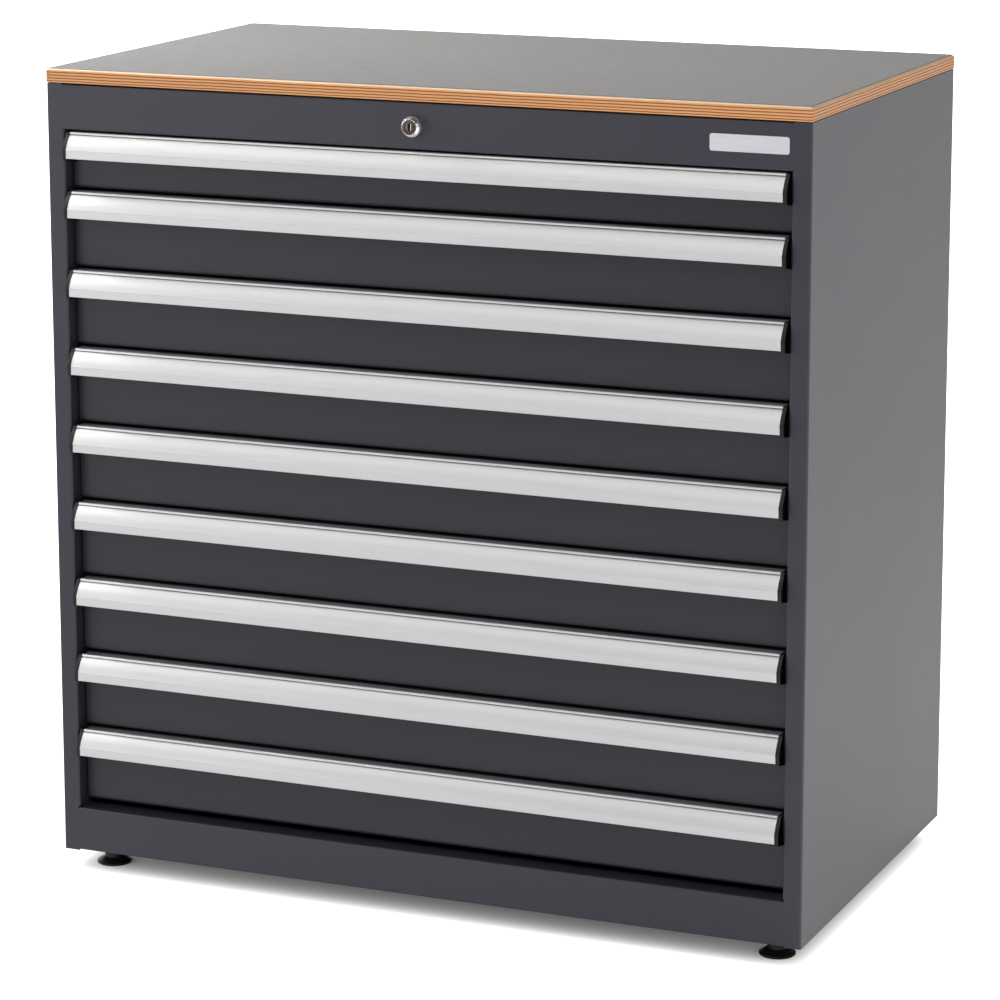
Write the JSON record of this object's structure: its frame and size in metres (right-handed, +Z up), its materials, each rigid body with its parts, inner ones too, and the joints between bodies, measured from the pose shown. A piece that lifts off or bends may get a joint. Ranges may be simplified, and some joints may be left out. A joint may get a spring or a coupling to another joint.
{
  "type": "tool cabinet",
  "caption": "Free-standing steel drawer cabinet with full-width aluminium handles, a central lock, a plywood worktop and levelling feet.",
  "frame": {"origin": "on the floor, at the centre of the outline seen from above", "axes": "+X along the width, to the right of someone who faces the drawers; -Y the way the drawers open; +Z up"},
  "size_m": [1.006, 0.586, 1.045],
  "materials": {
    "carcass_paint": "anthracite powder coat, fine texture, satin",
    "drawer_paint": "anthracite powder coat, fine texture, satin",
    "handle_aluminium": "satin anodised, drawn along the length",
    "cap_plastic": "black moulded plastic",
    "plywood": "oiled birch plywood edge",
    "worktop_film": "grey hard surface with a fine grain",
    "lock_chrome": "polished",
    "lock_plug": "nickel over brass, worn at the keyway",
    "plate_aluminium": "satin",
    "foot_plastic": "black moulded plastic",
    "stud_steel": "zinc plated",
    "runner_steel": "zinc plated"
  },
  "bodies": {
    "cabinet": {"side_panel_left": "carcass_paint", "side_panel_right": "carcass_paint", "back_panel": "carcass_paint", "top_panel": "carcass_paint", "base_panel": "carcass_paint", "front_header": "carcass_paint", "plinth_rail": "carcass_paint", "worktop_board": "plywood", "worktop_surface": "worktop_film", "cabinet_rails": "runner_steel", "lock_housing": "lock_chrome", "lock_nut": "lock_chrome", "name_plate": "plate_aluminium"},
    "lock_plug": {"lock_plug": "lock_plug", "lock_cam": "runner_steel"},
    "lock_bar": {"lock_bar": "runner_steel"},
    "drawer_1": {"drawer_1_box": "drawer_paint", "drawer_1_handle": "handle_aluminium", "drawer_1_end_caps": "cap_plastic"},
    "carriage_1": {"drawer_1_carriage": "runner_steel"},
    "drawer_2": {"drawer_2_box": "drawer_paint", "drawer_2_handle": "handle_aluminium", "drawer_2_end_caps": "cap_plastic"},
    "carriage_2": {"drawer_2_carriage": "runner_steel"},
    "drawer_3": {"drawer_3_box": "drawer_paint", "drawer_3_handle": "handle_aluminium", "drawer_3_end_caps": "cap_plastic"},
    "carriage_3": {"drawer_3_carriage": "runner_steel"},
    "drawer_4": {"drawer_4_box": "drawer_paint", "drawer_4_handle": "handle_aluminium", "drawer_4_end_caps": "cap_plastic"},
    "carriage_4": {"drawer_4_carriage": "runner_steel"},
    "drawer_5": {"drawer_5_box": "drawer_paint", "drawer_5_handle": "handle_aluminium", "drawer_5_end_caps": "cap_plastic"},
    "carriage_5": {"drawer_5_carriage": "runner_steel"},
    "drawer_6": {"drawer_6_box": "drawer_paint", "drawer_6_handle": "handle_aluminium", "drawer_6_end_caps": "cap_plastic"},
    "carriage_6": {"drawer_6_carriage": "runner_steel"},
    "drawer_7": {"drawer_7_box": "drawer_paint", "drawer_7_handle": "handle_aluminium", "drawer_7_end_caps": "cap_plastic"},
    "carriage_7": {"drawer_7_carriage": "runner_steel"},
    "drawer_8": {"drawer_8_box": "drawer_paint", "drawer_8_handle": "handle_aluminium", "drawer_8_end_caps": "cap_plastic"},
    "carriage_8": {"drawer_8_carriage": "runner_steel"},
    "drawer_9": {"drawer_9_box": "drawer_paint", "drawer_9_handle": "handle_aluminium", "drawer_9_end_caps": "cap_plastic"},
    "carriage_9": {"drawer_9_carriage": "runner_steel"},
    "foot_pad_front_left": {"foot_pad_front_left": "foot_plastic"},
    "foot_stud_front_left": {"foot_stud_front_left": "stud_steel"},
    "foot_pad_front_right": {"foot_pad_front_right": "foot_plastic"},
    "foot_stud_front_right": {"foot_stud_front_right": "stud_steel"},
    "foot_pad_back_left": {"foot_pad_back_left": "foot_plastic"},
    "foot_stud_back_left": {"foot_stud_back_left": "stud_steel"},
    "foot_pad_back_right": {"foot_pad_back_right": "foot_plastic"},
    "foot_stud_back_right": {"foot_stud_back_right": "stud_steel"}
  },
  "joints": [
    {"name": "drawer_1_slide", "type": "slide", "parent": "cabinet", "child": "drawer_1", "axis": [0, -1, 0], "range_m": [0, 0.5]},
    {"name": "carriage_1_slide", "type": "slide", "parent": "cabinet", "child": "carriage_1", "axis": [0, -1, 0], "range_m": [0, 0.25]},
    {"name": "drawer_2_slide", "type": "slide", "parent": "cabinet", "child": "drawer_2", "axis": [0, -1, 0], "range_m": [0, 0.5]},
    {"name": "carriage_2_slide", "type": "slide", "parent": "cabinet", "child": "carriage_2", "axis": [0, -1, 0], "range_m": [0, 0.25]},
    {"name": "drawer_3_slide", "type": "slide", "parent": "cabinet", "child": "drawer_3", "axis": [0, -1, 0], "range_m": [0, 0.5]},
    {"name": "carriage_3_slide", "type": "slide", "parent": "cabinet", "child": "carriage_3", "axis": [0, -1, 0], "range_m": [0, 0.25]},
    {"name": "drawer_4_slide", "type": "slide", "parent": "cabinet", "child": "drawer_4", "axis": [0, -1, 0], "range_m": [0, 0.5]},
    {"name": "carriage_4_slide", "type": "slide", "parent": "cabinet", "child": "carriage_4", "axis": [0, -1, 0], "range_m": [0, 0.25]},
    {"name": "drawer_5_slide", "type": "slide", "parent": "cabinet", "child": "drawer_5", "axis": [0, -1, 0], "range_m": [0, 0.5]},
    {"name": "carriage_5_slide", "type": "slide", "parent": "cabinet", "child": "carriage_5", "axis": [0, -1, 0], "range_m": [0, 0.25]},
    {"name": "drawer_6_slide", "type": "slide", "parent": "cabinet", "child": "drawer_6", "axis": [0, -1, 0], "range_m": [0, 0.5]},
    {"name": "carriage_6_slide", "type": "slide", "parent": "cabinet", "child": "carriage_6", "axis": [0, -1, 0], "range_m": [0, 0.25]},
    {"name": "drawer_7_slide", "type": "slide", "parent": "cabinet", "child": "drawer_7", "axis": [0, -1, 0], "range_m": [0, 0.5]},
    {"name": "carriage_7_slide", "type": "slide", "parent": "cabinet", "child": "carriage_7", "axis": [0, -1, 0], "range_m": [0, 0.25]},
    {"name": "drawer_8_slide", "type": "slide", "parent": "cabinet", "child": "drawer_8", "axis": [0, -1, 0], "range_m": [0, 0.5]},
    {"name": "carriage_8_slide", "type": "slide", "parent": "cabinet", "child": "carriage_8", "axis": [0, -1, 0], "range_m": [0, 0.25]},
    {"name": "drawer_9_slide", "type": "slide", "parent": "cabinet", "child": "drawer_9", "axis": [0, -1, 0], "range_m": [0, 0.5]},
    {"name": "carriage_9_slide", "type": "slide", "parent": "cabinet", "child": "carriage_9", "axis": [0, -1, 0], "range_m": [0, 0.25]},
    {"name": "lock_turn", "type": "hinge", "parent": "cabinet", "child": "lock_plug", "pos_m": [0, -0.279, 0.997], "axis": [0, 1, 0], "range_deg": [0, 90]},
    {"name": "lock_bar_slide", "type": "slide", "parent": "cabinet", "child": "lock_bar", "axis": [1, 0, 0], "range_m": [0, 0.008]},
    {"name": "foot_height_front_left", "type": "slide", "parent": "cabinet", "child": "foot_pad_front_left", "axis": [0, 0, -1], "range_m": [0, 0.021]},
    {"name": "foot_screw_front_left", "type": "hinge", "parent": "foot_pad_front_left", "child": "foot_stud_front_left", "pos_m": [-0.457, -0.23, 0.02], "axis": [0, 0, -1], "range_deg": [0, 4320]},
    {"name": "foot_height_front_right", "type": "slide", "parent": "cabinet", "child": "foot_pad_front_right", "axis": [0, 0, -1], "range_m": [0, 0.021]},
    {"name": "foot_screw_front_right", "type": "hinge", "parent": "foot_pad_front_right", "child": "foot_stud_front_right", "pos_m": [0.457, -0.23, 0.02], "axis": [0, 0, -1], "range_deg": [0, 4320]},
    {"name": "foot_height_back_left", "type": "slide", "parent": "cabinet", "child": "foot_pad_back_left", "axis": [0, 0, -1], "range_m": [0, 0.021]},
    {"name": "foot_screw_back_left", "type": "hinge", "parent": "foot_pad_back_left", "child": "foot_stud_back_left", "pos_m": [-0.457, 0.244, 0.02], "axis": [0, 0, -1], "range_deg": [0, 4320]},
    {"name": "foot_height_back_right", "type": "slide", "parent": "cabinet", "child": "foot_pad_back_right", "axis": [0, 0, -1], "range_m": [0, 0.021]},
    {"name": "foot_screw_back_right", "type": "hinge", "parent": "foot_pad_back_right", "child": "foot_stud_back_right", "pos_m": [0.457, 0.244, 0.02], "axis": [0, 0, -1], "range_deg": [0, 4320]}
  ],
  "couplings": [
    {"joint": "carriage_1_slide", "follows": "drawer_1_slide", "ratio": 0.5},
    {"joint": "carriage_2_slide", "follows": "drawer_2_slide", "ratio": 0.5},
    {"joint": "carriage_3_slide", "follows": "drawer_3_slide", "ratio": 0.5},
    {"joint": "carriage_4_slide", "follows": "drawer_4_slide", "ratio": 0.5},
    {"joint": "carriage_5_slide", "follows": "drawer_5_slide", "ratio": 0.5},
    {"joint": "carriage_6_slide", "follows": "drawer_6_slide", "ratio": 0.5},
    {"joint": "carriage_7_slide", "follows": "drawer_7_slide", "ratio": 0.5},
    {"joint": "carriage_8_slide", "follows": "drawer_8_slide", "ratio": 0.5},
    {"joint": "carriage_9_slide", "follows": "drawer_9_slide", "ratio": 0.5},
    {"joint": "lock_turn", "follows": "lock_bar_slide", "rad_per_m": 196.35},
    {"joint": "foot_screw_front_left", "follows": "foot_height_front_left", "rad_per_m": 3590.4},
    {"joint": "foot_screw_front_right", "follows": "foot_height_front_right", "rad_per_m": 3590.4},
    {"joint": "foot_screw_back_left", "follows": "foot_height_back_left", "rad_per_m": 3590.4},
    {"joint": "foot_screw_back_right", "follows": "foot_height_back_right", "rad_per_m": 3590.4}
  ]
}
